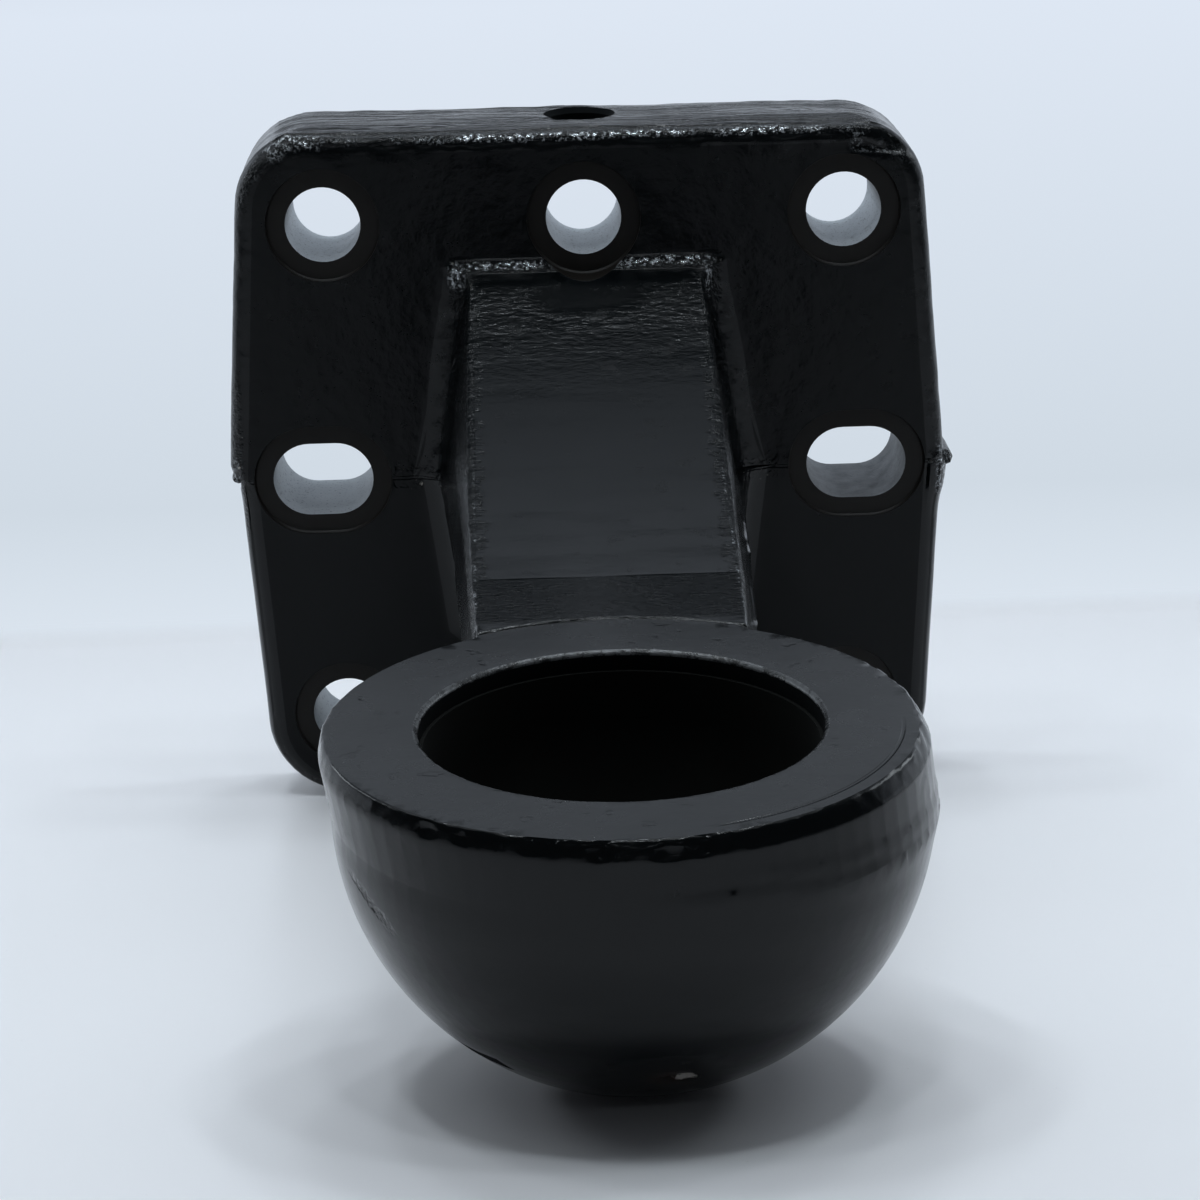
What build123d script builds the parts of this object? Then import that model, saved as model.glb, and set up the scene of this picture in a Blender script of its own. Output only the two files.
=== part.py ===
from build123d import *
from math import radians, sqrt, tan
import os

os.makedirs("parts", exist_ok=True)

# Frame: the origin is the centre of the ball that sits in the cup.
# +Z points out of the cup's mouth, +Y from the cup to the flange, +X to the right.

# Ball and seat
ball_d = 80.0
seat_clearance = 0.25
seat_r = ball_d / 2 + seat_clearance
liner_t = 2.0
liner_gap = 0.05
pocket_r = seat_r + liner_t
rim_z = 15.4
lip_h = 4.4
lip_r = 41.05
mouth_chamfer = 0.8

# Cup
dome_r = 61.5
wall_r = 61.8
taper_h = 3.6
taper_w = 1.5
band_step = 0.4

# The lower die half sat to the right of the upper one, most of all at the cup.
upper_shift = -0.65
lower_shift = 0.55
neck_shift = 1.4
cup_shift = 2.1

# Flange
spot_y = 256.0
flange_t = 34.0
face_y = spot_y + flange_t
proud = 1.6
front_y = spot_y - proud
part_z = -8.0
flange_top_z = 91.0
flange_top_tilt = 0.45
flange_bottom_z = -106.0
upper_half_w = 102.65
upper_end_half_w = 94.65
lower_half_w = 100.9
lower_end_half_w = 96.0
upper_corner_r = 22.0
lower_corner_r = 24.0
front_edge_r = 6.2
top_bevel_depth = 12.0
top_bevel_drop = 2.0
back_edge = 1.0

# Flash left at the parting line
flash_h = 3.2
flash_half_w = 103.5

# Bolt pattern for eight M20 screws
pattern_x = 145.0
pattern_z = 145.0
top_row_z = 65.5
bottom_row_z = top_row_z - pattern_z
hole_r = 10.5
slot_row_z = -8.0
slot_spacing = 152.5
slot_length = 28.5
spot_r = 15.9
spot_corner = 0.5

# Tapped hole in the flange's edge, core of M20
edge_hole_r = 8.75
edge_hole_depth = 12.0
edge_hole_y = 276.0
edge_sink_r = 10.2

# Neck
neck_start_y = 0.0
neck_flat_y = 89.5
neck_rise_y = 174.9
neck_rise_z = 21.0
neck_rise_r = 500.0
neck_join_z = 53.0
neck_part_w_start = 29.8
neck_part_w_end = 42.0
neck_draft_up = 9.0
neck_draft_down = 7.0
neck_fillet_r = 9.0
neck_reach = 70.0
neck_bottom_start_z = -55.0
neck_bottom_end_z = -61.0
neck_side_h = 47.0
neck_bottom_fillet_r = 12.0
neck_root = 6.0

# Grease nipple M8x1 in a recess at the dome's pole
recess_r = 7.5
recess_top_z = -52.0
nipple_shank_r = 4.0
nipple_gap = 0.05
nipple_shank_l = 5.5
nipple_hex_af = 9.0
nipple_hex_h = 3.6
nipple_head_r = 3.25
nipple_waist_r = 2.3
nipple_tip_z = -61.0
nipple_bore_r = 1.7
nipple_inlet_r = 0.8
check_ball_r = 1.5
spring_r = 1.2
spring_wire_r = 0.22
channel_r = 2.0
spring_turns = 5

round_hole_places = [(x, z) for z in (top_row_z, bottom_row_z) for x in (-pattern_x / 2, 0, pattern_x / 2)]
slot_places = [(x, slot_row_z) for x in (-slot_spacing / 2, slot_spacing / 2)]

# Alignment of a piece that hangs below the plane z = 0
lower_half = (Align.CENTER, Align.CENTER, Align.MAX)

# Parting plane of the neck: it climbs from the flange's middle to the ball's centre.
# Above and below it the neck's outlines run to the flange's front face.
neck_plane = Plane(
    origin=(0, neck_start_y, 0),
    x_dir=(1, 0, 0),
    z_dir=(0, -part_z, front_y - neck_start_y),
)
neck_run = sqrt((front_y - neck_start_y) ** 2 + part_z**2)
neck_lean = -part_z / (front_y - neck_start_y)
neck_inset_up = neck_reach * tan(radians(neck_draft_up))
neck_inset_side = neck_side_h * tan(radians(neck_draft_down))
neck_inset_down = neck_inset_side + neck_reach - neck_side_h

# Planes that look along -Y, with sketch X along +X and sketch Y along +Z.
back_plane = Plane(origin=(0, face_y, 0), x_dir=(1, 0, 0), z_dir=(0, -1, 0))
spot_plane = Plane(origin=(0, spot_y, 0), x_dir=(1, 0, 0), z_dir=(0, -1, 0))

# Plane along the flange's top edge, which leans a little down to the right
top_plane = Plane(
    origin=(0, front_y, flange_top_z),
    x_dir=(upper_end_half_w, 0, -flange_top_tilt),
    z_dir=(flange_top_tilt, 0, upper_end_half_w),
)

# Upper half of the flange, with the long bevel along its top edge
with BuildPart() as flange_upper:
    with BuildSketch(back_plane) as upper_outline:
        Polygon(
            (upper_shift - upper_half_w, part_z),
            (upper_shift - upper_end_half_w, flange_top_z + flange_top_tilt),
            (upper_shift + upper_end_half_w, flange_top_z - flange_top_tilt),
            (upper_shift + upper_half_w, part_z),
            align=None,
        )
        fillet(upper_outline.vertices().sort_by(Axis.Y)[2:], upper_corner_r)
    extrude(amount=flange_t + proud)
    front_edges = flange_upper.faces().sort_by(Axis.Y)[0].edges()
    fillet(front_edges.sort_by(Axis.Z)[1:], front_edge_r)
    back_edges = flange_upper.faces().sort_by(Axis.Y)[-1].edges()
    chamfer(back_edges.sort_by(Axis.Z)[1:], back_edge)
    with BuildSketch(top_plane.rotated((0, 90, 0))):
        Polygon(
            (-2, -1),
            (top_bevel_drop, -1),
            (top_bevel_drop, 0),
            (0, top_bevel_depth),
            (-2, top_bevel_depth),
            align=None,
        )
    extrude(amount=upper_half_w, both=True, mode=Mode.SUBTRACT)

# Lower half of the flange
with BuildPart() as flange_lower:
    with BuildSketch(back_plane) as lower_outline:
        Polygon(
            (lower_shift - lower_half_w, part_z),
            (lower_shift - lower_end_half_w, flange_bottom_z),
            (lower_shift + lower_end_half_w, flange_bottom_z),
            (lower_shift + lower_half_w, part_z),
            align=None,
        )
        fillet(lower_outline.vertices().group_by(Axis.Y)[0], lower_corner_r)
    extrude(amount=flange_t + proud)
    front_edges = flange_lower.faces().sort_by(Axis.Y)[0].edges()
    fillet(front_edges.sort_by(Axis.Z)[:-1], front_edge_r)
    back_edges = flange_lower.faces().sort_by(Axis.Y)[-1].edges()
    chamfer(back_edges.sort_by(Axis.Z)[:-1], back_edge)

# Upper half of the neck: a drafted block, trimmed to its top, which curves up to the flange
with BuildPart() as neck_upper:
    for height, inset in ((0, 0), (neck_reach, neck_inset_up)):
        run = neck_run - height * neck_lean
        with BuildSketch(neck_plane.offset(height)) as outline:
            Polygon(
                (inset - neck_part_w_start, 0),
                (inset - neck_part_w_end, run),
                (inset - neck_part_w_end - 2 * neck_fillet_r, run),
                (inset - neck_part_w_end - 2 * neck_fillet_r, run + neck_root),
                (neck_part_w_end - inset + 2 * neck_fillet_r, run + neck_root),
                (neck_part_w_end - inset + 2 * neck_fillet_r, run),
                (neck_part_w_end - inset, run),
                (neck_part_w_start - inset, 0),
                align=None,
            )
            fillet(outline.vertices().group_by(Axis.Y)[1].sort_by(Axis.X)[1:3], neck_fillet_r)
    loft(ruled=True)
    with BuildSketch(Plane.YZ) as top_line:
        Polygon(
            (0, -neck_reach),
            (0, rim_z + band_step),
            (neck_flat_y, rim_z + band_step),
            (neck_rise_y, neck_rise_z),
            (front_y, neck_join_z),
            (face_y, neck_join_z),
            (face_y, -neck_reach),
            align=None,
        )
        rise = top_line.vertices().sort_by_distance((neck_rise_y, neck_rise_z))[0]
        fillet(rise, neck_rise_r)
    extrude(amount=neck_reach, both=True, mode=Mode.INTERSECT)

# Lower half of the neck
with BuildPart() as neck_lower:
    for height, inset in ((0, 0), (-neck_side_h, neck_inset_side), (-neck_reach, neck_inset_down)):
        run = neck_run - height * neck_lean
        with BuildSketch(neck_plane.offset(height)) as outline:
            Polygon(
                (neck_shift + inset - neck_part_w_start, 0),
                (neck_shift + inset - neck_part_w_end, run),
                (neck_shift + inset - neck_part_w_end - 2 * neck_fillet_r, run),
                (neck_shift + inset - neck_part_w_end - 2 * neck_fillet_r, run + neck_root),
                (neck_shift + neck_part_w_end - inset + 2 * neck_fillet_r, run + neck_root),
                (neck_shift + neck_part_w_end - inset + 2 * neck_fillet_r, run),
                (neck_shift + neck_part_w_end - inset, run),
                (neck_shift + neck_part_w_start - inset, 0),
                align=None,
            )
            fillet(outline.vertices().group_by(Axis.Y)[1].sort_by(Axis.X)[1:3], neck_fillet_r)
    loft(ruled=True)
    with BuildSketch(Plane.YZ) as side:
        Polygon(
            (0, neck_bottom_start_z),
            (0, neck_reach),
            (face_y, neck_reach),
            (face_y, neck_bottom_end_z - 2 * neck_bottom_fillet_r),
            (front_y, neck_bottom_end_z - 2 * neck_bottom_fillet_r),
            (front_y, neck_bottom_end_z),
            align=None,
        )
        bottom_root = side.vertices().sort_by_distance((front_y, neck_bottom_end_z))[0]
        fillet(bottom_root, neck_bottom_fillet_r)
    extrude(amount=neck_reach, both=True, mode=Mode.INTERSECT)

# Wall of the cup, which leans from the dome to the rim as the die halves were offset,
# and narrows in a steep taper just below the rim
with BuildPart() as cup_wall:
    for height, shift, radius in (
        (0, cup_shift, dome_r),
        (rim_z - taper_h, cup_shift * taper_h / rim_z, wall_r),
        (rim_z, 0, wall_r - taper_w),
    ):
        with BuildSketch(Plane.XY.offset(height)):
            with Locations((shift, 0)):
                Circle(radius)
    loft(ruled=True)

# The whole forging, then its machined faces and holes
with BuildPart() as forged_body:
    add(flange_upper.part)
    add(flange_lower.part)
    add(neck_upper.part)
    add(neck_lower.part)
    with Locations((cup_shift, 0, 0)):
        Sphere(dome_r, arc_size1=-90, arc_size2=0, align=lower_half)
    add(cup_wall.part)
    # strip of trimmed flash round the flange
    with BuildSketch(back_plane.offset(1)):
        with Locations((0, part_z)):
            Rectangle(2 * flash_half_w, flash_h)
    extrude(amount=flange_t + proud - front_edge_r)

    # rim turned flat, as far as a faint circle on the neck
    with BuildSketch(Plane.XY.offset(rim_z)):
        Circle(wall_r)
    extrude(amount=band_step, mode=Mode.SUBTRACT)

    # pocket for the seat liner, below a lip that the liner snaps past
    Sphere(pocket_r, arc_size1=-90, arc_size2=0, align=lower_half, mode=Mode.SUBTRACT)
    Cylinder(
        pocket_r,
        rim_z - lip_h,
        align=(Align.CENTER, Align.CENTER, Align.MIN),
        mode=Mode.SUBTRACT,
    )
    with Locations((0, 0, rim_z)):
        Hole(lip_r, depth=rim_z)
    mouth_edge = forged_body.edges().filter_by(GeomType.CIRCLE).sort_by_distance((lip_r, 0, rim_z))[0]
    chamfer(mouth_edge, mouth_chamfer)

    # spot faces: a flat floor with a conical corner, then a straight wall
    with BuildSketch(spot_plane):
        with Locations(*round_hole_places):
            Circle(spot_r - spot_corner)
        with Locations(*slot_places):
            SlotOverall(slot_length + 2 * (spot_r - spot_corner - hole_r), 2 * (spot_r - spot_corner))
    extrude(amount=spot_corner, taper=-45, mode=Mode.SUBTRACT)
    with BuildSketch(spot_plane.offset(spot_corner)):
        with Locations(*round_hole_places):
            Circle(spot_r)
        with Locations(*slot_places):
            SlotOverall(slot_length + 2 * (spot_r - hole_r), 2 * spot_r)
    extrude(amount=3 * proud + neck_fillet_r, mode=Mode.SUBTRACT)

    # bolt holes and slots through the flange
    with BuildSketch(spot_plane):
        with Locations(*round_hole_places):
            Circle(hole_r)
        with Locations(*slot_places):
            SlotOverall(slot_length, 2 * hole_r)
    extrude(amount=-flange_t, mode=Mode.SUBTRACT)

    # tapped hole in the flange's top edge
    with Locations((0, edge_hole_y, flange_top_z)):
        CounterSinkHole(edge_hole_r, edge_sink_r, depth=edge_hole_depth, counter_sink_angle=90)

    # recess, thread and channel of the grease nipple
    with BuildSketch(Plane.XY.offset(recess_top_z)):
        Circle(recess_r)
    extrude(amount=-recess_r - nipple_hex_af, mode=Mode.SUBTRACT)
    with BuildSketch(Plane.XY.offset(recess_top_z)):
        Circle(nipple_shank_r + nipple_gap)
    extrude(amount=nipple_shank_l + 0.5, mode=Mode.SUBTRACT)
    with BuildSketch(Plane.XY.offset(recess_top_z)):
        Circle(channel_r)
    extrude(amount=-recess_top_z - seat_r, mode=Mode.SUBTRACT)

# Wear shell that the ball turns in
with BuildPart() as seat_liner:
    Sphere(pocket_r - liner_gap, arc_size1=-90, arc_size2=0, align=lower_half)
    Cylinder(
        pocket_r - liner_gap,
        rim_z - lip_h - liner_gap,
        align=(Align.CENTER, Align.CENTER, Align.MIN),
    )
    Sphere(seat_r, arc_size1=-90, arc_size2=0, align=lower_half, mode=Mode.SUBTRACT)
    Cylinder(
        seat_r,
        rim_z,
        align=(Align.CENTER, Align.CENTER, Align.MIN),
        mode=Mode.SUBTRACT,
    )
    Cylinder(channel_r, 2 * pocket_r, align=lower_half, mode=Mode.SUBTRACT)

# Grease nipple: shank, hexagon, waist and rounded head, bored for its ball and spring
nipple_hex_z = recess_top_z - nipple_hex_h
with BuildPart() as grease_nipple:
    with BuildSketch(Plane.XY.offset(recess_top_z)):
        RegularPolygon(nipple_hex_af / 2, 6, major_radius=False)
    extrude(amount=-nipple_hex_h)
    with BuildSketch(Plane.XY.offset(recess_top_z)):
        Circle(nipple_shank_r)
    extrude(amount=nipple_shank_l)
    with BuildSketch(Plane.XZ):
        with BuildLine():
            Polyline(
                (0, nipple_hex_z),
                (nipple_waist_r, nipple_hex_z),
                (nipple_waist_r, nipple_tip_z + 3.4),
                (nipple_head_r, nipple_tip_z + 2.4),
                (nipple_head_r, nipple_tip_z + 1.6),
                (nipple_waist_r - 0.5, nipple_tip_z),
                (0, nipple_tip_z),
                close=True,
            )
        make_face()
    revolve(axis=Axis.Z)
    with BuildSketch(Plane.XZ):
        with BuildLine():
            Polyline(
                (0, nipple_tip_z),
                (nipple_inlet_r, nipple_tip_z),
                (nipple_inlet_r, nipple_tip_z + 1.2),
                (nipple_bore_r, nipple_tip_z + 2.2),
                (nipple_bore_r, recess_top_z + nipple_shank_l - 0.8),
                (nipple_inlet_r, recess_top_z + nipple_shank_l - 0.8),
                (nipple_inlet_r, recess_top_z + nipple_shank_l),
                (0, recess_top_z + nipple_shank_l),
                close=True,
            )
        make_face()
    revolve(axis=Axis.Z, mode=Mode.SUBTRACT)

# Check ball that closes the nipple's inlet
check_ball_z = nipple_tip_z + 2.63
with BuildPart() as nipple_ball:
    with Locations((0, 0, check_ball_z)):
        Sphere(check_ball_r)

# Spring that presses the check ball down
spring_start_z = check_ball_z + 1.3
spring_end_z = recess_top_z + nipple_shank_l - 0.8 - spring_wire_r - 0.05
with BuildPart() as nipple_spring:
    with BuildLine() as coil:
        Helix(
            pitch=(spring_end_z - spring_start_z) / spring_turns,
            height=spring_end_z - spring_start_z,
            radius=spring_r,
            center=(0, 0, spring_start_z),
        )
    with BuildSketch(coil.line ^ 0):
        Circle(spring_wire_r)
    sweep()

pieces = {
    "forged_body": forged_body,
    "seat_liner": seat_liner,
    "grease_nipple": grease_nipple,
    "nipple_ball": nipple_ball,
    "nipple_spring": nipple_spring,
}
for piece_name, piece in pieces.items():
    piece.part.label = piece_name
    export_step(piece.part, f"parts/{piece_name}.step")
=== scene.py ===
import math

import bmesh
import bpy
from bpy.props import FloatProperty, FloatVectorProperty, IntProperty, PointerProperty
from mathutils import Matrix, Vector, noise


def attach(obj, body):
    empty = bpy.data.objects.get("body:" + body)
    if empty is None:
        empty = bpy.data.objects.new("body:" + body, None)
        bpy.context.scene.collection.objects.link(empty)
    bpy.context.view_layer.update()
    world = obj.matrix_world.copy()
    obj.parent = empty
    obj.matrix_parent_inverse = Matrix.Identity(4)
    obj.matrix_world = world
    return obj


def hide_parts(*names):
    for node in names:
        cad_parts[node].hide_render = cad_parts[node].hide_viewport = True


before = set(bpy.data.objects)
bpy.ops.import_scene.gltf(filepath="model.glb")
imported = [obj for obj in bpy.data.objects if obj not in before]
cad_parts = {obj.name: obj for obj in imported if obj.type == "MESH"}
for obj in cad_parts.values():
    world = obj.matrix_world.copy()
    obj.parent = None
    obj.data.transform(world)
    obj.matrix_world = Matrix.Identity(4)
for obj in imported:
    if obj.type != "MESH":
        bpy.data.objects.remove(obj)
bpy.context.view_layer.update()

bl_info = {
    "name": "Forged ball coupling",
    "version": (1, 0, 0),
    "blender": (4, 5, 0),
    "location": "3D Viewport > Sidebar > Coupling",
    "description": "Dresses a forged ball coupling with paint, wear and a pale studio",
    "category": "Add Mesh",
}

MM = 0.001


class Sock:
    """A shader socket that can be written in plain arithmetic."""

    def __init__(self, tree, socket):
        self.tree = tree
        self.socket = socket

    def _math(self, operation, *values):
        node = self.tree.nodes.new("ShaderNodeMath")
        node.operation = operation
        for place, value in enumerate(values):
            if isinstance(value, Sock):
                self.tree.links.new(value.socket, node.inputs[place])
            else:
                node.inputs[place].default_value = value
        return Sock(self.tree, node.outputs[0])

    def __add__(self, other):
        return self._math("ADD", self, other)

    def __radd__(self, other):
        return self._math("ADD", other, self)

    def __sub__(self, other):
        return self._math("SUBTRACT", self, other)

    def __rsub__(self, other):
        return self._math("SUBTRACT", other, self)

    def __mul__(self, other):
        return self._math("MULTIPLY", self, other)

    def __rmul__(self, other):
        return self._math("MULTIPLY", other, self)

    def __truediv__(self, other):
        return self._math("DIVIDE", self, other)

    def __abs__(self):
        return self._math("ABSOLUTE", self)

    def __pow__(self, other):
        return self._math("POWER", self, other)

    def least(self, other):
        return self._math("MINIMUM", self, other)

    def most(self, other):
        return self._math("MAXIMUM", self, other)

    def above(self, level, soft):
        """0 below the level, 1 above it, with a soft step."""
        node = self.tree.nodes.new("ShaderNodeMapRange")
        node.interpolation_type = "SMOOTHSTEP"
        self.tree.links.new(self.socket, node.inputs["Value"])
        node.inputs["From Min"].default_value = level - soft
        node.inputs["From Max"].default_value = level + soft
        return Sock(self.tree, node.outputs["Result"])

    def below(self, level, soft):
        return 1 - self.above(level, soft)


class Finish:
    """A material that is written as expressions over its nodes."""

    def __init__(self, name):
        self.material = bpy.data.materials.new(name)
        self.material.use_nodes = True
        self.tree = self.material.node_tree
        self.shader = self.tree.nodes["Principled BSDF"]
        place = self.node("ShaderNodeTexCoord").output("Object")
        self.place = self.node("ShaderNodeVectorMath", {"operation": "SCALE"}, {0: place, "Scale": 1000.0}).output(0)
        axes = self.node("ShaderNodeSeparateXYZ", {}, {0: self.place})
        self.x, self.y, self.z = (axes.output(n) for n in range(3))

    def node(self, kind, settings=None, values=None):
        node = self.tree.nodes.new(kind)
        for name, value in (settings or {}).items():
            if name == "stops":
                ramp = node.color_ramp
                while len(ramp.elements) < len(value):
                    ramp.elements.new(0.5)
                for stop, (where, colour) in zip(ramp.elements, value):
                    stop.position = where
                    stop.color = (*colour, 1.0)
            else:
                setattr(node, name, value)
        for name, value in (values or {}).items():
            if isinstance(value, Sock):
                self.tree.links.new(value.socket, node.inputs[name])
            else:
                node.inputs[name].default_value = value
        return Made(self.tree, node)

    def noise(self, size, detail=2.0, rough=0.5, stretch=None, distortion=0.0):
        """Noise whose lumps are about size millimetres, around 0.5."""
        place = self.place
        if stretch:
            place = self.node("ShaderNodeVectorMath", {"operation": "MULTIPLY"}, {0: place, 1: stretch}).output(0)
        made = self.node(
            "ShaderNodeTexNoise",
            {},
            {"Vector": place, "Scale": 1.0 / size, "Detail": detail, "Roughness": rough, "Distortion": distortion},
        )
        return made.output(0)

    def mix(self, factor, first, second):
        made = self.node(
            "ShaderNodeMix",
            {"data_type": "RGBA"},
            {0: factor, 6: (*first, 1.0) if not isinstance(first, Sock) else first,
             7: (*second, 1.0) if not isinstance(second, Sock) else second},
        )
        return made.output(2)

    def bump(self, height, distance, normal=None, strength=1.0):
        values = {"Height": height, "Distance": distance, "Strength": strength}
        if normal:
            values["Normal"] = normal
        return self.node("ShaderNodeBump", {}, values).output(0)

    def feed(self, **sockets):
        for name, value in sockets.items():
            socket = self.shader.inputs[name.replace("_", " ")]
            if isinstance(value, Sock):
                self.tree.links.new(value.socket, socket)
            else:
                socket.default_value = value


class Made:
    """A node that has been made, read by its outputs."""

    def __init__(self, tree, node):
        self.tree = tree
        self.made = node

    def output(self, which):
        return Sock(self.tree, self.made.outputs[which])


class StageSettings(bpy.types.PropertyGroup):
    lens: FloatProperty(name="Lens", description="Focal length on a 36 mm sensor", default=88.568, unit="CAMERA")
    lean: FloatProperty(name="Lean", description="How far the part leans on the floor", default=math.radians(9.65),
                        subtype="ANGLE")
    wall_place: FloatProperty(name="Wall", description="How far behind the cup the backdrop rises",
                              default=0.535, unit="LENGTH")
    floor_colour: FloatVectorProperty(name="Floor colour", description="Colour of the floor",
                                      default=(0.875, 0.87, 0.89), subtype="COLOR", size=3)


class PaintSettings(bpy.types.PropertyGroup):
    black: FloatVectorProperty(name="Black", description="Colour of the gloss paint",
                               default=(0.0011, 0.0018, 0.0022), subtype="COLOR", size=3)
    steel: FloatVectorProperty(name="Steel", description="Colour of bare machined steel",
                               default=(0.50, 0.54, 0.57), subtype="COLOR", size=3)
    liner: FloatVectorProperty(name="Liner", description="Colour of the seat liner",
                               default=(0.0025, 0.0028, 0.0025), subtype="COLOR", size=3)


class ForgingSettings(bpy.types.PropertyGroup):
    grid: FloatProperty(name="Grid", description="Size of the mesh on the forging", default=0.0028, unit="LENGTH")
    waves: FloatProperty(name="Waves", description="Height of the long waves in the forged skin",
                         default=0.00018, unit="LENGTH")
    pebbles: FloatProperty(name="Pebbles", description="Height of the small lumps on the upper die's side",
                           default=0.00009, unit="LENGTH")


def gloss_black(name, index):
    """Gloss paint over a forged skin; a lower index makes a darker copy, used as painted shade on the front faces.
    """
    finish = Finish(name)
    paint = bpy.context.scene.coupling_paint
    x, y, z = finish.x, finish.y, finish.z
    flange = y.above(251.0, 2.0)
    upper = flange * z.above(-8.0, 1.5) * z.below(86.0, 2.0)
    top = z.above(88.6, 0.8) * y.above(258.6, 1.5)
    slope = y.above(91.0, 2.0) * y.below(246.0, 2.0) * z.above(15.0, 2.0)
    high_slope = slope * y.above(205.0, 30.0)
    level = y.above(60.0, 1.0) * y.below(89.8, 0.5) * z.above(14.0, 1.0)
    mirror = ((x - 0.5) * (x - 0.5) / 300.0 + (y - 240.0) * (y - 240.0) / 80.0).below(0.8, 0.5) * z.above(15.0, 2.0)

    # bands along the edges where the paint lies over torn scale
    top_edge = z.above(87.6, 0.8) * y.above(252.0, 1.0) * y.below(258.0, 0.7)
    neck_top = abs(x).below(36.0, 1.5) * y.above(251.0, 0.6) * z.above(49.6, 0.7) * z.below(54.6, 0.5)
    corner = abs(abs(x) - 34.5).below(3.0, 1.5) * y.above(245.0, 2.0) * z.above(40.0, 2.0) * z.below(55.0, 1.0)
    edge_line = abs(x) - (28.4 + y * 0.011)
    neck_side = y.above(62.0, 3.0) * y.below(250.0, 2.0) * z.above(11.0, 2.0)
    wander = finish.noise(11.0, 2.0, 0.6) * 1.2
    seam = abs(z + 7.4 + wander).below(0.45, 0.3) * y.above(240.0, 3.0)
    parting = abs(z + 8.5).below(3.4, 1.5) * y.above(236.0, 3.0) * finish.noise(6.0, 3.0, 0.6).above(0.5, 0.06)
    left_edge = x.below(-98.0, 1.0) * abs(z + 3.0).below(24.0, 4.0) * y.below(259.5, 1.0)
    left_corner = x.below(-72.0, 5.0) * z.above(70.0, 5.0) * y.below(258.0, 0.8) * y.above(254.7, 0.3)
    torn = (top_edge * 0.9).most(neck_top * 1.5).most(parting * 0.3).most(corner * 0.9)
    torn = torn.most(left_edge * 0.6).most(left_corner * 0.7)
    torn = torn.most(neck_side * edge_line.above(0.6, 0.5) * 0.5)

    # narrow torn lines that glint; drawn as flecks of bare metal
    waver = finish.noise(4.5, 3.0, 0.6) * 3.0 - 1.5
    patches = finish.noise(14.0, 2.0, 0.5).above(0.46, 0.1)
    shine = abs(x).below(35.5, 1.5) * y.above(250.5, 0.6) * abs(z - 53.1 + waver * 0.8).below(0.8, 0.5)
    shine = shine.most(abs(z - 88.3 + waver * 0.6).below(0.8, 0.5) * y.below(257.0, 0.6) * y.above(252.0, 1.0)
                       * abs(x).below(80.0, 6.0) * patches)
    shine = shine.most(abs(x + 36.0).below(1.8, 1.2) * z.above(47.5, 1.5) * z.below(53.5, 1.0) * y.above(248.0, 2.0))
    shine = shine.most(abs(x - 34.3).below(0.7, 0.6) * z.above(45.0, 2.5) * z.below(53.5, 1.0)
                       * y.above(242.0, 4.0) * 0.8)
    shine = shine.most(left_corner * z.above(79.5, 2.0) * patches * 0.6)
    shine = shine.most(x.above(76.0, 4.0) * z.above(80.0, 4.0) * y.below(257.0, 0.8) * y.above(254.7, 0.3)
                       * patches * 0.6)
    shine = shine.most(abs(abs(x) - 102.0).below(2.5, 1.0) * abs(z + 9.0).below(9.0, 4.0) * y.above(200.0, 9.0)
                       * y.below(262.0, 4.0) * patches * 0.6)
    shine = shine.most(neck_side * abs(edge_line - 1.0).below(0.35, 0.25) * y.below(140.0, 30.0) * patches * 0.4)

    peel = finish.noise(1.5, 2.0, 0.5)
    pebble = finish.noise(4.2, 3.0, 0.55)
    ripple = finish.noise(1.9, 3.0, 0.6, stretch=(0.55, 1.0, 1.0), distortion=0.3)
    lap = finish.noise(6.0, 4.0, 0.6, stretch=(0.12, 1.0, 1.0), distortion=1.0)
    crumb = finish.noise(1.35, 3.0, 0.65)
    strokes = finish.noise(1.6, 2.0, 0.6, stretch=(0.5, 1.6, 1.6), distortion=0.6)
    combed = finish.noise(1.5, 2.0, 0.55, stretch=(0.34, 1.0, 1.0), distortion=0.5).above(0.54, 0.05)
    combed = combed * neck_side * (edge_line + finish.noise(7.0, 2.0, 0.6) * 6.0).above(2.0, 1.2)
    height = peel * 0.014 + pebble * (0.02 + upper * 0.25)
    height = height + ripple * (slope * 0.04 + high_slope * 0.26) * (1 - mirror * 0.9)
    height = height + lap * (top * 2.8) + crumb * (torn * 0.85) + strokes * (level * 0.36)
    height = height - combed * 0.17 - seam * 0.3

    shade = finish.noise(30.0, 3.0, 0.6)
    dust = finish.noise(9.0, 6.0, 0.75)
    rough = 0.12 + shade * 0.1 + upper * 0.08 + slope * 0.05 + level * (strokes * 0.16)
    rough = (rough + dust.above(0.62, 0.08) * 0.1 + combed * 0.12) * (1 - torn.least(1.0) * 0.55)
    colour = finish.mix(dust.above(0.6, 0.15) * 0.5, tuple(paint.black), (0.0028, 0.0034, 0.0038))

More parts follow.
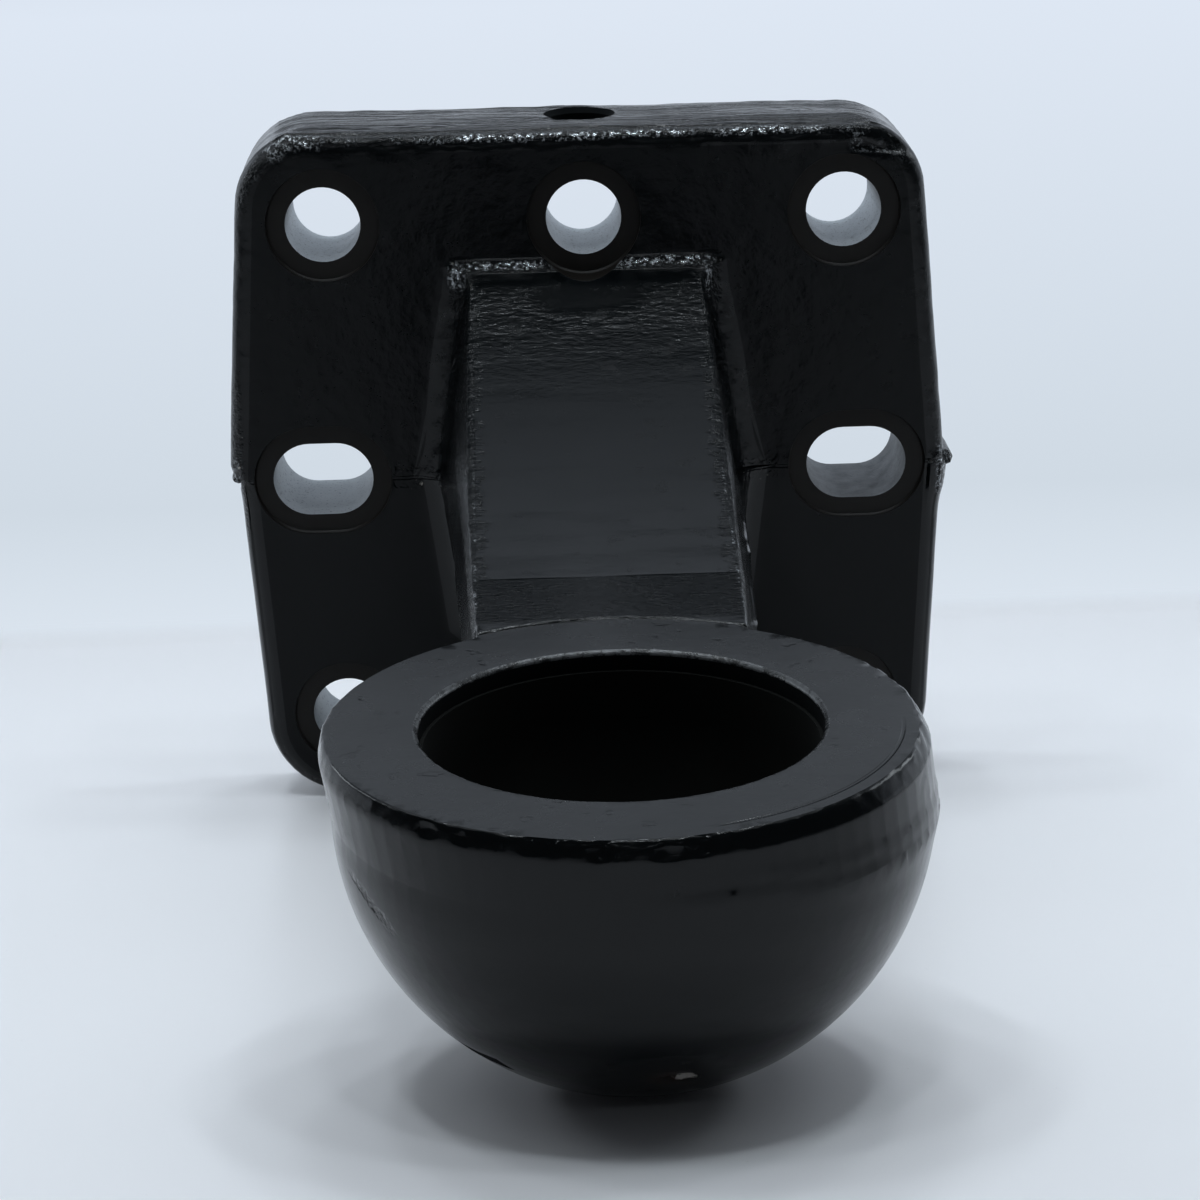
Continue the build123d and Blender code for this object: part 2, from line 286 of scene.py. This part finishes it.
    # bare chips: along the parting line, in the scar at the cup's left and under the dome
    knock = ((x + 50.2) * (x + 50.2) + (z + 9.0) * (z + 9.0)) ** 0.5
    scar = abs(x + 60.8 + z * 1.18 + waver * 1.5).below(1.3, 0.9) * knock.below(4.0, 3.0) * y.below(0.0, 5.0)
    scar = scar * crumb.above(0.47, 0.08)
    scrape = ((x - 9.5) * (x - 9.5) + (z + 44.0) * (z + 44.0) * 4.0) ** 0.5
    speck = finish.noise(2.2, 4.0, 0.7)
    chips = speck.above(0.68, 0.02) * parting.most(corner * 0.4).most(left_edge * 0.8)
    chips = chips + speck.above(0.66, 0.03) * scar * 0.6
    chips = chips.most((scrape * 0.8 + speck * 9.0).below(6.3, 0.3) * y.below(-30.0, 5.0))
    rusty = (scrape - 5.0 + speck * 6.0).below(5.2, 2.0) * x.below(9.0, 3.0) * y.below(-30.0, 5.0)
    colour = finish.mix(rusty, colour, (0.018, 0.009, 0.006))
    colour = finish.mix(chips.least(1.0), colour, (0.34, 0.32, 0.29))
    flecks = finish.noise(1.25, 5.0, 0.78).above(0.55, 0.03) * shine.least(1.0)
    colour = finish.mix(flecks, colour, (0.66, 0.69, 0.72))
    height = height - scar * 0.4
    finish.feed(Base_Color=colour, Roughness=rough.most(flecks * 0.22), Metallic=flecks, IOR=index,
                Normal=finish.bump(height, MM))
    return finish.material


def turned_rim():
    """Paint over a turned face, with dents and the arc of a tool."""
    finish = Finish("painted turned rim")
    paint = bpy.context.scene.coupling_paint
    x, y = finish.x, finish.y
    axis = (x * x + y * y) ** 0.5
    rings = finish.node("ShaderNodeTexNoise", {"noise_dimensions": "1D"},
                        {"W": axis, "Scale": 1.1, "Detail": 3.0, "Roughness": 0.6}).output(0)
    soft = finish.noise(7.0, 3.0, 0.55)
    peel = finish.noise(1.6, 2.0, 0.5)
    dents = finish.noise(5.5, 2.0, 0.5).above(0.69, 0.05)
    arc = abs(axis - 56.8).below(0.35, 0.2) * x.above(18.0, 6.0) * y.below(-8.0, 6.0)
    height = rings * 0.004 + soft * 0.07 + peel * 0.012 - dents * 0.08 - arc * 0.18
    rough = 0.2 + finish.noise(18.0, 4.0, 0.65) * 0.16
    finish.feed(Base_Color=(*paint.black, 1.0), Roughness=rough, IOR=1.4, Normal=finish.bump(height, MM))
    return finish.material


def worn_mouth():
    """Paint worn to a shine along the turned edge of the mouth."""
    finish = Finish("worn mouth edge")
    crumb = finish.noise(1.1, 3.0, 0.65)
    bare = finish.noise(4.0, 4.0, 0.7).above(0.5, 0.1)
    colour = finish.mix(bare * 0.5, (0.004, 0.0045, 0.005), (0.16, 0.165, 0.17))
    finish.feed(Base_Color=colour, Roughness=0.24 + bare * 0.1, Metallic=bare * 0.5, IOR=1.45,
                Normal=finish.bump(crumb * 0.14, MM))
    return finish.material


def cut_spot():
    """Thin satin paint over a spot-faced ring."""
    finish = Finish("spot faced ring")
    grain = finish.noise(0.9, 3.0, 0.6)
    stain = finish.noise(6.0, 4.0, 0.6)
    colour = finish.mix(stain, (0.0050, 0.0047, 0.0042), (0.0100, 0.0082, 0.0066))
    finish.feed(Base_Color=colour, Roughness=0.4 + stain * 0.15, IOR=1.27,
                Normal=finish.bump(grain * 0.012 + stain * 0.03, MM))
    return finish.material


def bare_steel():
    """Drilled steel with pits; the right-hand slot and the lower bores are darker, and walls facing downwards get
    painted shade.
    """
    finish = Finish("bare drilled steel")
    paint = bpy.context.scene.coupling_paint
    cloud = finish.noise(5.0, 4.0, 0.65)
    pits = finish.noise(0.8, 3.0, 0.6).above(0.63, 0.05)
    strokes = finish.noise(1.2, 3.0, 0.6, stretch=(1.0, 0.15, 1.0))
    colour = finish.mix(cloud, tuple(0.8 * c for c in paint.steel), tuple(1.08 * c for c in paint.steel))
    darker_bores_and_painted_shade = finish.x.above(55.0, 5.0) * finish.z.below(25.0, 5.0) * (0.7 + cloud * 0.35)
    colour = finish.mix(pits * 0.75, colour, (0.09, 0.09, 0.09))
    normal = finish.node("ShaderNodeNewGeometry").output("Normal")
    facing = finish.node("ShaderNodeSeparateXYZ", {}, {0: normal}).output(2)
    # painted shade: bore walls that face downwards are darkened; the lower bores and the right-hand slot are simply
    # made darker
    darker_bores_and_painted_shade = darker_bores_and_painted_shade.most(facing.below(-0.1, 0.4)).most(finish.z.below(30.0, 5.0) * 0.38)
    colour = finish.mix(darker_bores_and_painted_shade, colour, (0.06, 0.065, 0.07))
    finish.feed(Base_Color=colour, Roughness=0.42 + cloud * 0.2, Metallic=0.75,
                Normal=finish.bump(strokes * 0.03 - pits * 0.05, MM))
    return finish.material


def milled_back():
    """The mounting face: milled in long arcs, then painted thinly."""
    finish = Finish("milled mounting face")
    x, z = finish.x, finish.z
    sweep = ((x - 20.0) * (x - 20.0) + (z + 260.0) * (z + 260.0)) ** 0.5
    arcs = finish.node("ShaderNodeTexNoise", {"noise_dimensions": "1D"},
                       {"W": sweep, "Scale": 0.9, "Detail": 2.0, "Roughness": 0.7}).output(0)
    worn = finish.noise(22.0, 6.0, 0.7)
    colour = finish.mix(worn.above(0.58, 0.12) * 0.8, (0.011, 0.011, 0.0115), (0.16, 0.16, 0.155))
    finish.feed(Base_Color=colour, Roughness=0.34 + worn * 0.2, Metallic=worn.above(0.58, 0.12) * 0.8,
                Normal=finish.bump(arcs * 0.03 + finish.noise(1.4) * 0.01, MM))
    return finish.material


def dull_liner():
    finish = Finish("matt black liner")
    paint = bpy.context.scene.coupling_paint
    grain = finish.noise(1.1, 3.0, 0.6)
    rub = finish.noise(16.0, 4.0, 0.6)
    colour = finish.mix(rub, tuple(paint.liner), (0.0065, 0.007, 0.0062))
    finish.feed(Base_Color=colour, Roughness=0.82 + rub * 0.12, IOR=1.2, Normal=finish.bump(grain * 0.03, MM))
    return finish.material


def zinc_steel():
    finish = Finish("zinc plated steel")
    cloud = finish.noise(2.2, 3.0, 0.6)
    colour = finish.mix(cloud, (0.50, 0.49, 0.45), (0.62, 0.60, 0.52))
    finish.feed(Base_Color=colour, Roughness=0.3 + cloud * 0.15, Metallic=1.0,
                Normal=finish.bump(finish.noise(0.6) * 0.006, MM))
    return finish.material


def gloss_inside():
    """Paint inside the pocket, flooded and dull."""
    finish = Finish("paint in the pocket")
    paint = bpy.context.scene.coupling_paint
    finish.feed(Base_Color=(*paint.black, 1.0), Roughness=0.7 + finish.noise(6.0) * 0.2, IOR=1.15,
                Normal=finish.bump(finish.noise(2.0) * 0.03, MM))
    return finish.material


PAINT, SPOT, BORE, RIM, BACK, CAVITY, MOUTH, FRONT = range(8)
FORGED = (PAINT, FRONT)
ROUND_HOLES = [(x, z) for z in (65.5, -79.5) for x in (-72.5, 0.0, 72.5)]
SLOTS = [(-76.25, -8.0), (76.25, -8.0)]
DOME_CENTRE = Vector((2.1, 0.0, 0.0))
DOME_R = 61.5
RING_LAMPS = 8
RING_RADIUS = 0.32


def hole_distance(x, z):
    """How far a point of the flange is from the nearest hole's wall, in mm."""
    near = min(math.hypot(x - a, z - b) for a, b in ROUND_HOLES)
    for a, b in SLOTS:
        near = min(near, math.hypot(max(abs(x - a) - 3.75, 0.0), z - b))
    return near - 10.5


def finish_of(face):
    """Which finish a face of the forging has, by its place and its direction."""
    x, y, z = face.calc_center_median() / MM
    n = face.normal
    axis = math.hypot(x, y)
    if y > 289.9 and n.y > 0.99:
        return BACK
    if y > 253 and hole_distance(x, z) < 0.12 and abs(n.y) < 0.2:
        return BORE
    if 255.0 < y < 256.9 and n.y < -0.5 and hole_distance(x, z) < 5.35:
        return SPOT
    if 240 < y < 256.2 and hole_distance(x, z) < 5.55 and abs(n.y) < 0.3 and z > -100:
        return SPOT
    if math.hypot(x, y - 276.0) < 10.4 and z > 70 and (abs(n.z) < 0.95 or z < 85):
        return CAVITY
    if axis < 62.2 and z > 15.3 and n.z > 0.95:
        return RIM
    if 41.0 < axis < 42.0 and z > 14.5 and n.z > 0.3:
        return MOUTH
    if axis < 9.2 and z < -45:
        return CAVITY
    if axis < 42.4 and z > -43.5:
        return CAVITY
    # the flange's front faces and the neck's level band take the darker copy of the paint, as painted shade
    if y > 254.0 and n.y < -0.99 and z < 85.0:
        return FRONT
    if 15.5 < z < 16.0 and n.z > 0.99 and axis > 61.0 and y < 91.0:
        return FRONT
    return PAINT


def cut_grid(bm, faces, step, offset):
    """Cut the faces along a square grid, so that dents have corners to move."""
    geom = set(faces)
    for face in faces:
        geom.update(face.verts)
        geom.update(face.edges)
    geom = list(geom)
    places = [v.co.copy() for v in geom if isinstance(v, bmesh.types.BMVert)]
    for axis in range(3):
        low = min(place[axis] for place in places) / MM
        high = max(place[axis] for place in places) / MM
        normal = Vector([float(axis == other) for other in range(3)])
        for count in range(math.ceil((low - offset) / step), math.floor((high - offset) / step) + 1):
            plane = normal * ((count * step + offset) * MM)
            cut = bmesh.ops.bisect_plane(bm, geom=geom, dist=1e-6, plane_co=plane, plane_no=normal)
            geom = cut["geom"]


def lump(place, size, seed):
    """Smooth noise from -1 to 1 whose lumps are about size millimetres."""
    return noise.noise(place / size + Vector((seed * 7.3, seed * 3.1, seed * 5.7)))


def ramp(value, low, high):
    """0 at low, 1 at high, smooth between."""
    t = min(max((value - low) / (high - low), 0.0), 1.0)
    return t * t * (3 - 2 * t)


def skin_height(place, facing, waves, pebbles):
    """How far the forged skin stands proud of its drawing at a place, in mm."""
    x, y, z = place
    high = waves * (lump(place, 26.0, 1) + (0.45 if y > 60 else 0.1) * lump(place, 11.0, 2))
    if y > 250:
        upper = ramp(z, -9.0, -7.0)
        high += pebbles * (0.4 + upper) * lump(place, 5.0, 3)
        if facing.y < -0.7:
            high -= 0.3 * ramp(z, -7.4, -9.4)
        # the top edge tore in laps as the flash was cut
        lap = ramp(z, 80.0, 88.0)
        if lap > 0:
            along = Vector((x, 0.35 * y, 0.0))
            high += lap * 0.4 * lump(Vector((0.2 * x, y, 0.0)), 7.0, 18)
            high += lap * (0.34 * lump(along, 27.0, 4) + 0.22 * lump(along, 9.0, 5))
            front = ramp(y, 262.0, 257.0)
            high += lap * front * (0.6 * lump(place, 9.0, 6) + 0.35 * lump(place, 3.4, 16))
        # a torn-out facet at the right-hand top corner
        if 80.0 < z < 90.0 and x > 70 and facing.y < -0.6:
            ledge = ramp(z + 0.12 * (x - 80.0), 81.4, 82.6)
            high -= 1.5 * ledge * ramp(z, 87.5, 82.0) * ramp(x, 72.5, 77.0) * ramp(x, 90.0, 86.5)
        # flash pressed out at the right of the parting line
        if x > 96 and facing.x > 0.3:
            high += 1.7 * ramp(z, -24.0, -13.0) * ramp(z, -6.0, -9.0) * (0.8 + 0.4 * lump(place, 6.0, 7))
        if x < -100 and facing.x < -0.4:
            high -= 0.9 * ramp(abs(z + 8.0), 3.4, 1.6)
        if x < -96 and facing.x < -0.3:
            high += 0.4 * ramp(z, -20.0, -13.0) * ramp(z, -6.0, -9.0) * (0.6 + lump(place, 7.0, 8))
    elif y > 60 and z > 8:
        edge = abs(x) - (29.0 + 0.011 * y)
        high += 0.28 * ramp(edge, -2.0, 1.0) * lump(place, 4.0, 9)
        high += 0.3 * ramp(y, 245.0, 249.0) * lump(place, 5.5, 10)
        high += 0.34 * ramp(y, 249.5, 251.5) * lump(place, 2.9, 20)
        high += 0.05 * lump(Vector((x * 0.25, y, z)), 4.5, 11)
    axis = math.hypot(x, y)
    if axis > 54 and y < 60:
        # nicks along the rim's outer edge, most of them in front
        nicked = ramp(z, 11.5, 14.0) * (0.25 + ramp(abs(x + 4.0), 36.0, 18.0) * ramp(y, 0.0, -30.0)
                                        + 0.9 * ramp(x, 50.0, 56.0))
        high += nicked * (0.32 * lump(place, 6.5, 12) + 0.3 * lump(place, 2.8, 13))
        # the lower die's metal lapped over at the right
        lapped = ramp(x, -4.0, 14.0) * ramp(y, 40.0, 10.0)
        waver = 0.5 * lump(Vector((x, y, 0.0)), 15.0, 14)
        lower_crest = (3.9 - 0.12 * max(x - 18.0, 0.0), 0.5)
        upper_crest = (10.0 - 0.12 * x, 0.3 * ramp(x, 14.0, 30.0))
        for crest, drop in (lower_crest, upper_crest):
            crest += waver
            high += drop * lapped * ramp(z, crest + 0.7, crest - 0.6) * ramp(z, crest - 7.0, crest - 0.6)
    # the neck's lower corners are eased where they run into the dome; this side is hidden in the photo
    if z < -34 and 2 < y < 95 and (place - DOME_CENTRE).length > DOME_R + 0.5:
        high -= 2.6 * ramp(z, -36.0, -46.0) * ramp(abs(x - 1.4), 10.0, 20.0) * ramp(y, 92.0, 62.0)
    # the dome's front is a little flat near its lowest point
    if z < -20 and y < 0:
        outer = 0.05 * (x - 2.1) - 0.69 * y - 0.722 * z - (DOME_R - 1.7)
        if outer > 0:
            high -= 0.85 * outer
    return high


# Single marks: place, reach and depth in mm (a negative depth is a raised spot)
MARKS = (
    ((89.5, 254.4, 60.8), (3.0, 4.0, 1.2), 0.5),
    ((-38.3, -47.7, 13.6), (3.2, 3.2, 2.0), 0.7),
    ((-31.5, -52.8, 13.6), (2.4, 2.4, 1.6), 0.5),
    ((6.6, -61.5, 12.9), (5.0, 4.0, 1.8), 0.6),
    ((-6.5, -61.3, 13.1), (3.0, 4.0, 1.6), 0.5),
    ((13.0, -60.0, 13.0), (2.2, 4.0, 1.4), 0.5),
    ((8.6, -42.1, -44.3), (5.0, 4.0, 3.0), 0.5),
    ((56.5, -22.0, 9.5), (2.6, 3.4, 2.0), 0.8),
    ((58.5, -18.0, 5.0), (2.4, 3.2, 2.0), -0.6),
)


def look_along(origin, forward, up):
    right = forward.cross(up).normalized()
    up = right.cross(forward)
    turned = Matrix((right, up, -forward)).transposed().to_4x4()
    return Matrix.Translation(origin) @ turned


def studio_floor(up):
    """Glossy pale board; its raised back glows to the camera and to gloss as a pale wall, with painted light graded
    by height.
    """
    finish = Finish("pale glossy board")
    stage = bpy.context.scene.coupling_stage
    upward = finish.node("ShaderNodeVectorMath", {"operation": "DOT_PRODUCT"}, {0: finish.place, 1: tuple(up)})
    height = upward.output(1) + DOME_R
    # painted light: the wall's glow is lighter near the floor and darker higher up
    painted_wall_light = finish.node("ShaderNodeValToRGB", {"stops": (
        (0.0, (0.71, 0.78, 0.86)), (0.07, (0.63, 0.70, 0.775)), (0.34, (0.73, 0.80, 0.90)),
        (0.62, (0.46, 0.51, 0.58)), (1.0, (0.34, 0.38, 0.43)))}, {0: height / 700.0}).output(0)
    scuffs = finish.noise(2.5, 5.0, 0.7, stretch=(0.06, 1.0, 1.0)).above(0.72, 0.03)
    dust = finish.noise(1.2, 2.0, 0.5).above(0.79, 0.01)
    colour = finish.mix(scuffs * 0.10 + dust * 0.25, tuple(stage.floor_colour), (0.32, 0.30, 0.30))
    finish.feed(Base_Color=colour, Roughness=0.3, IOR=1.25)
    rays = finish.node("ShaderNodeLightPath")
    seen = rays.output("Is Camera Ray").most(rays.output("Is Glossy Ray")).most(rays.output("Is Transmission Ray"))
    wall = finish.node("ShaderNodeEmission", {}, {"Color": painted_wall_light, "Strength": 1.0}).output(0)
    mixed = finish.node("ShaderNodeMixShader", {}, {
        0: seen * height.above(3.0, 3.0), 1: Sock(finish.tree, finish.shader.outputs[0]), 2: wall}).output(0)
    # from behind, the backdrop is open, so that the part's back can be seen
    clear = finish.node("ShaderNodeBsdfTransparent").output(0)
    behind = finish.node("ShaderNodeNewGeometry").output("Backfacing")
    mixed = finish.node("ShaderNodeMixShader", {}, {0: behind, 1: mixed, 2: clear}).output(0)
    finish.tree.links.new(mixed.socket, finish.tree.nodes["Material Output"].inputs["Surface"])
    return finish.material


class COUPLING_OT_stage(bpy.types.Operator):
    """Make the floor, the lamps and the camera"""

    bl_idname = "coupling.stage"
    bl_label = "Stage"

    def execute(self, context):
        stage = context.scene.coupling_stage
        up = Vector((0, math.sin(stage.lean), math.cos(stage.lean)))
        back = Vector((0, math.cos(stage.lean), -math.sin(stage.lean)))
        side = Vector((1, 0, 0))
        level = -DOME_R * MM * up

        # floor and backdrop, as one strip pulled along its profile
        radius = 0.03
        profile = [(-2.5, 0.0), (stage.wall_place, 0.0)]
        for step in range(1, 13):
            turn = math.radians(90 * step / 12)
            profile.append((stage.wall_place + radius * math.sin(turn), radius - radius * math.cos(turn)))
        profile.append((stage.wall_place + radius, 3.0))
        bm = bmesh.new()
        for along, high in profile:
            bm.verts.new(level + back * along + up * high - side * 2.5)
        bm.verts.ensure_lookup_table()
        for first, second in zip(bm.verts[:-1], bm.verts[1:]):
            bm.edges.new((first, second))
        pulled = bmesh.ops.extrude_edge_only(bm, edges=bm.edges[:])
        far_side = [v for v in pulled["geom"] if isinstance(v, bmesh.types.BMVert)]
        bmesh.ops.translate(bm, verts=far_side, vec=side * 5.0)
        bmesh.ops.recalc_face_normals(bm, faces=bm.faces[:])
        bm.normal_update()
        # the extrusion gives the faces in no fixed order, and the wall is square to up, so all of them are asked
        if sum(face.normal.dot(up) * face.calc_area() for face in bm.faces) < 0:
            bmesh.ops.reverse_faces(bm, faces=bm.faces[:])
        for face in bm.faces:
            face.smooth = True
        mesh = bpy.data.meshes.new("studio_floor")
        bm.to_mesh(mesh)
        bm.free()
        floor = bpy.data.objects.new("studio_floor", mesh)
        context.scene.collection.objects.link(floor)
        mesh.materials.append(studio_floor(up))

        # lamps: a soft ceiling, a ring around the zenith, a strip at each side and three sparks in front
        aim = Vector((0, 0.08, -0.03))
        lamps = [
            ("ceiling", level + up * 1.05 + back * 0.04, (1.9, 0.9), 4.6),
            ("left", side * -0.64 + up * 0.36 + back * 0.44, (0.14, 0.7), 0.9),
            ("right", side * 0.64 + up * 0.36 + back * 0.44, (0.14, 0.7), 0.9),
        ]
        for step in range(RING_LAMPS):
            turn = math.radians(360 / RING_LAMPS * step)
            around = side * (RING_RADIUS * math.sin(turn)) + back * (RING_RADIUS * math.cos(turn))
            lamps.append((f"ring_{step}", level + up * 1.0 + around, (0.07, 0.07), 0.72))
        for name, along in (("spark_l", -0.4), ("spark_m", 0.02), ("spark_r", 0.45)):
            lamps.append((name, level + up * 0.95 - back * 1.5 + side * along, (0.05, 0.05), 0.1))
        for name, place, size, energy in lamps:
            light = bpy.data.lights.new(name, "AREA")
            light.shape = "RECTANGLE"
            light.size, light.size_y = size
            light.energy = energy
            light.color = (0.86, 0.94, 1.0)
            lamp = bpy.data.objects.new(name, light)
            down = name == "ceiling" or name.startswith("ring")
            lamp.matrix_world = look_along(place, -up if down else (aim - place).normalized(), back)
            context.scene.collection.objects.link(lamp)

        world = bpy.data.worlds.new("studio")
        context.scene.world = world
        world.use_nodes = True
        background = world.node_tree.nodes["Background"]
        background.inputs["Color"].default_value = (0.85, 0.92, 1.0, 1.0)
        rays = world.node_tree.nodes.new("ShaderNodeLightPath")
        glow = Sock(world.node_tree, rays.outputs["Is Camera Ray"]) * 0.65 + 0.05
        world.node_tree.links.new(glow.socket, background.inputs["Strength"])

        # camera, fitted to the photographed holes, slots and cup
        lens = bpy.data.cameras.new("camera")
        lens.sensor_width = 36.0
        lens.lens = stage.lens
        lens.clip_start = 0.01
        camera = bpy.data.objects.new("camera", lens)
        forward = Vector((0.01999, 0.944821, -0.326978))
        above = Vector((0.033041, 0.32624, 0.944709))
        camera.matrix_world = look_along(Vector((-0.01534, -0.554704, 0.233211)), forward, above)
        context.scene.collection.objects.link(camera)
        context.scene.camera = camera
        context.scene.view_settings.view_transform = "Standard"
        return {"FINISHED"}


class COUPLING_OT_forging(bpy.types.Operator):
    """Give the forging its skin, its torn edges and its finishes"""

    bl_idname = "coupling.forging"
    bl_label = "Forging"

    def execute(self, context):
        settings = context.scene.coupling_forging
        waves, pebbles = settings.waves / MM, settings.pebbles / MM
        bm = bmesh.new()
        bm.from_mesh(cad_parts["forged_body"].data)
        bmesh.ops.remove_doubles(bm, verts=bm.verts, dist=2e-6)
        bmesh.ops.dissolve_limit(bm, angle_limit=math.radians(0.2), verts=bm.verts, edges=bm.edges,
                                 use_dissolve_boundaries=False)
        bmesh.ops.join_triangles(bm, faces=[f for f in bm.faces if len(f.verts) == 3],
                                 angle_face_threshold=math.radians(2), angle_shape_threshold=math.radians(170))
        bm.normal_update()
        for face in bm.faces:
            face.material_index = finish_of(face)

        # ease the turned edges: both edges of the mouth, and the rim's outer edge
        for finish, wide in ((MOUTH, 0.28), (RIM, 0.45)):
            turned = []
            for edge in bm.edges:
                own = [f.material_index for f in edge.link_faces].count(finish)
                middle = (edge.verts[0].co + edge.verts[1].co) / 2 / MM
                if own == 1 and (finish == MOUTH or math.hypot(middle.x, middle.y) > 55 and middle.z > 15):
                    turned.append(edge)
            bmesh.ops.bevel(bm, geom=turned, affect="EDGES", offset=wide * MM, offset_type="OFFSET", segments=2,
                            profile=0.5, material=MOUTH if finish == MOUTH else PAINT, clamp_overlap=True)

        step = settings.grid / MM
        cut_grid(bm, [f for f in bm.faces if f.material_index != CAVITY], step, 0.013)
        fine = []
        for face in bm.faces:
            if face.material_index not in FORGED:
                continue
            x, y, z = face.calc_center_median() / MM
            at_top = y > 250 and z > 80
            at_neck = 62 < y < 256 and z > 10 and (abs(x) > 27 or y > 244) and abs(x) < 40
            at_rim = y < 60 and math.hypot(x, y) > 57 and z > 8 or y < 45 and x > -10 and -1 < z < 10
            at_seam = y > 238 and abs(z + 8.0) < 4.2
            if at_top or at_neck or at_rim or at_seam:
                fine.append(face)
        cut_grid(bm, fine, step, 0.013 + step / 2)
        bmesh.ops.triangulate(bm, faces=[f for f in bm.faces if len(f.verts) > 4])
        bm.normal_update()

        # round off the forged edges
        worn = set()
        for edge in bm.edges:
            if len(edge.link_faces) == 2 and all(f.material_index in FORGED for f in edge.link_faces):
                middle = (edge.verts[0].co + edge.verts[1].co) / 2 / MM
                crisp = middle.y > 250 and abs(middle.z + 8.0) < 3.0 and abs(middle.x) < 90
                if not crisp and edge.calc_face_angle(0.0) > math.radians(24):
                    worn.update(edge.verts)
        for vert in list(worn):
            worn.update(edge.other_vert(vert) for edge in vert.link_edges)
        worn = [v for v in worn if all(f.material_index in FORGED for f in v.link_faces)]
        root = [v for v in bm.verts if abs(v.co.x) < 0.046 and v.co.y > 0.238 and 0.036 < v.co.z < 0.062
                and all(f.material_index in FORGED for f in v.link_faces)]
        for verts, rounds in ((worn, 3), (root, 4)):
            for _ in range(rounds):
                bmesh.ops.smooth_vert(bm, verts=verts, factor=0.5, use_axis_x=True, use_axis_y=True, use_axis_z=True)
        bm.normal_update()

        # raise and sink the skin along the forged faces' own direction
        moves = []
        for vert in bm.verts:
            forged = [f.normal for f in vert.link_faces if f.material_index in FORGED]
            if not forged:
                continue
            facing = sum(forged, Vector()).normalized()
            place = vert.co / MM
            off = place - DOME_CENTRE
            if place.z < -0.05 and place.y < 62 and abs(off.length - DOME_R) < 0.35:
                place = DOME_CENTRE + off * (DOME_R / off.length)
            high = skin_height(place, facing, waves, pebbles)
            for centre, reach, depth in MARKS:
                away = Vector(((place.x - centre[0]) / reach[0], (place.y - centre[1]) / reach[1],
                               (place.z - centre[2]) / reach[2])).length
                if away < 1:
                    high -= depth * (1 - away * away) ** 2
            push = facing * high
            for face in vert.link_faces:
                if face.material_index not in FORGED:
                    push -= face.normal * push.dot(face.normal)
            moves.append((vert, (place + push) * MM))
        for vert, place in moves:
            vert.co = place
        bm.normal_update()
        for face in bm.faces:
            face.smooth = True
        for edge in bm.edges:
            if len(edge.link_faces) != 2:
                raise RuntimeError("the forging has an open edge")
            first, second = (f.material_index for f in edge.link_faces)
            angle = edge.calc_face_angle(0.0)
            machined = first not in FORGED or second not in FORGED
            edge.smooth = angle < math.radians(28 if machined else 60)

        mesh = bpy.data.meshes.new("forging")
        bm.to_mesh(mesh)
        bm.free()
        # the last material is the darker copy of the paint: painted shade for the front faces
        for material in (gloss_black("gloss black paint", 1.32), cut_spot(), bare_steel(), turned_rim(),
                         milled_back(), gloss_inside(), worn_mouth(), gloss_black("black paint with painted shade", 1.23)):
            mesh.materials.append(material)
        forging = bpy.data.objects.new("forging", mesh)
        context.scene.collection.objects.link(forging)
        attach(forging, "root")
        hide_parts("forged_body")
        return {"FINISHED"}


class COUPLING_OT_inner(bpy.types.Operator):
    """Dress the liner and the nipple"""

    bl_idname = "coupling.inner"
    bl_label = "Liner and nipple"

    def execute(self, context):
        zinc = zinc_steel()
        for name, material in (
            ("seat_liner", dull_liner()),
            ("grease_nipple", zinc),
            ("nipple_ball", zinc),
            ("nipple_spring", zinc),
        ):
            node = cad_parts[name]
            node.data.materials.clear()
            node.data.materials.append(material)
        return {"FINISHED"}


class COUPLING_PT_panel(bpy.types.Panel):
    """The steps of the model"""

    bl_label = "Coupling"
    bl_idname = "COUPLING_PT_panel"
    bl_space_type = "VIEW_3D"
    bl_region_type = "UI"
    bl_category = "Coupling"

    def draw(self, context):
        for step in ("stage", "forging", "inner"):
            self.layout.operator(f"coupling.{step}")


CLASSES = (
    StageSettings,
    PaintSettings,
    ForgingSettings,
    COUPLING_OT_stage,
    COUPLING_OT_forging,
    COUPLING_OT_inner,
    COUPLING_PT_panel,
)


def register():
    for one in CLASSES:
        bpy.utils.register_class(one)
    bpy.types.Scene.coupling_stage = PointerProperty(type=StageSettings)
    bpy.types.Scene.coupling_paint = PointerProperty(type=PaintSettings)
    bpy.types.Scene.coupling_forging = PointerProperty(type=ForgingSettings)


def unregister():
    del bpy.types.Scene.coupling_forging
    del bpy.types.Scene.coupling_paint
    del bpy.types.Scene.coupling_stage
    for one in reversed(CLASSES):
        bpy.utils.unregister_class(one)


def main():
    register()
    bpy.ops.coupling.stage()
    bpy.ops.coupling.forging()
    bpy.ops.coupling.inner()


if __name__ == "__main__":
    main()
